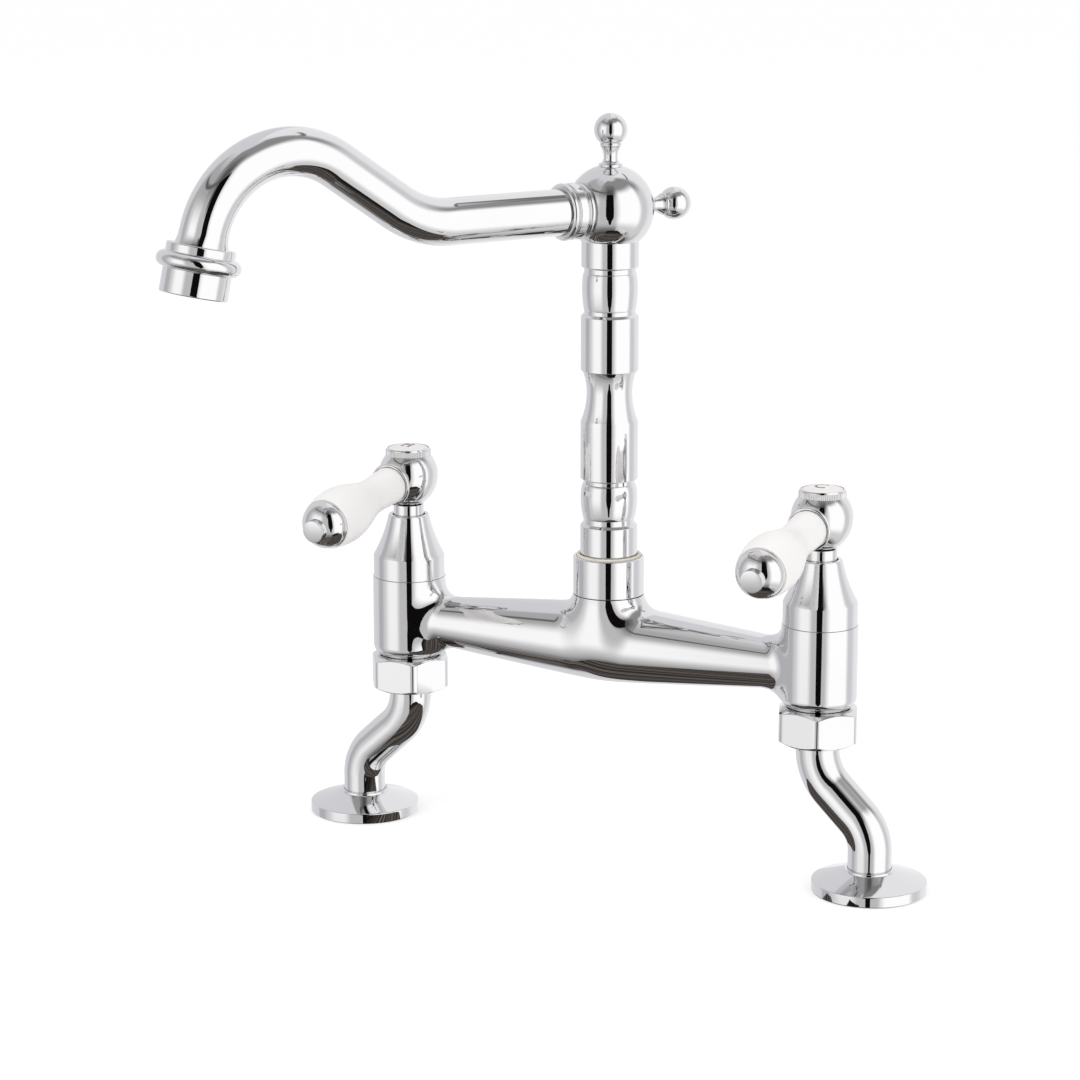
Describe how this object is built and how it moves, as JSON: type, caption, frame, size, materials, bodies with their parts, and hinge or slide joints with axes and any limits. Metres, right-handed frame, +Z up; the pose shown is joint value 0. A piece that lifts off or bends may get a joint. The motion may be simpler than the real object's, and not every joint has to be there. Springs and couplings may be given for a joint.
{
  "type": "bridge kitchen tap",
  "caption": "Two-hole bridge kitchen tap: cranked legs, tapered bridge, white lever handles and a turned swivel column with a curved spout.",
  "frame": {"origin": "on the worktop plane under the two foot flanges, on the axis of the swivel column", "axes": "+X along the bridge from the hot side to the cold side, -Y toward the person at the sink, +Z up"},
  "size_m": [0.2712, 0.2001, 0.2978],
  "materials": {
    "chrome_plate": "mirror-bright plating on turned and cast brass",
    "bare_brass": "machined, unplated",
    "grip_ceramic": "smooth glaze, warm white",
    "cap_white": "smooth, slightly warm white",
    "cream_ring": "plain moulded",
    "rubber_seal": "matt black",
    "fibre_washer": "pressed fibre, red-brown",
    "stainless": "turned",
    "alumina_disc": "lapped flat",
    "grey_plastic": "moulded"
  },
  "bodies": {
    "fixed": {"bridge_body": "chrome_plate", "swivel_collar": "chrome_plate", "friction_ring": "cream_ring", "hot_union_nut": "chrome_plate", "hot_union_washer": "fibre_washer", "hot_leg": "chrome_plate", "hot_foot_flange": "chrome_plate", "hot_seat_washer": "rubber_seal", "hot_fixed_disc": "alumina_disc", "hot_cartridge": "bare_brass", "hot_sleeve": "chrome_plate", "hot_bonnet": "chrome_plate", "cold_union_nut": "chrome_plate", "cold_union_washer": "fibre_washer", "cold_leg": "chrome_plate", "cold_foot_flange": "chrome_plate", "cold_seat_washer": "rubber_seal", "cold_fixed_disc": "alumina_disc", "cold_cartridge": "bare_brass", "cold_sleeve": "chrome_plate", "cold_bonnet": "chrome_plate"},
    "spout": {"column": "chrome_plate", "lower_seal": "rubber_seal", "upper_seal": "rubber_seal", "head": "chrome_plate", "top_finial": "chrome_plate", "rear_finial": "chrome_plate", "spout_socket": "chrome_plate", "spout_tube": "chrome_plate", "nozzle": "chrome_plate", "aerator": "grey_plastic", "aerator_washer": "rubber_seal"},
    "hot_lever": {"hot_spindle": "bare_brass", "hot_turning_disc": "alumina_disc", "hot_hub": "chrome_plate", "hot_hub_screw": "stainless", "hot_cap_ring": "chrome_plate", "hot_cap_disc": "cap_white", "hot_lever_stud": "stainless", "hot_ferrule": "chrome_plate", "hot_grip": "grip_ceramic", "hot_end_cap": "chrome_plate"},
    "cold_lever": {"cold_spindle": "bare_brass", "cold_turning_disc": "alumina_disc", "cold_hub": "chrome_plate", "cold_hub_screw": "stainless", "cold_cap_ring": "chrome_plate", "cold_cap_disc": "cap_white", "cold_lever_stud": "stainless", "cold_ferrule": "chrome_plate", "cold_grip": "grip_ceramic", "cold_end_cap": "chrome_plate"}
  },
  "joints": [
    {"name": "spout_swivel", "type": "hinge", "parent": "fixed", "child": "spout", "pos_m": [0, 0, 0.114], "axis": [0, 0, 1], "continuous": true},
    {"name": "hot_lever_turn", "type": "hinge", "parent": "fixed", "child": "hot_lever", "pos_m": [-0.09, 0, 0.1035], "axis": [0, 0, -1], "range_deg": [0, 90]},
    {"name": "cold_lever_turn", "type": "hinge", "parent": "fixed", "child": "cold_lever", "pos_m": [0.09, 0, 0.1035], "axis": [0, 0, 1], "range_deg": [0, 90]}
  ]
}
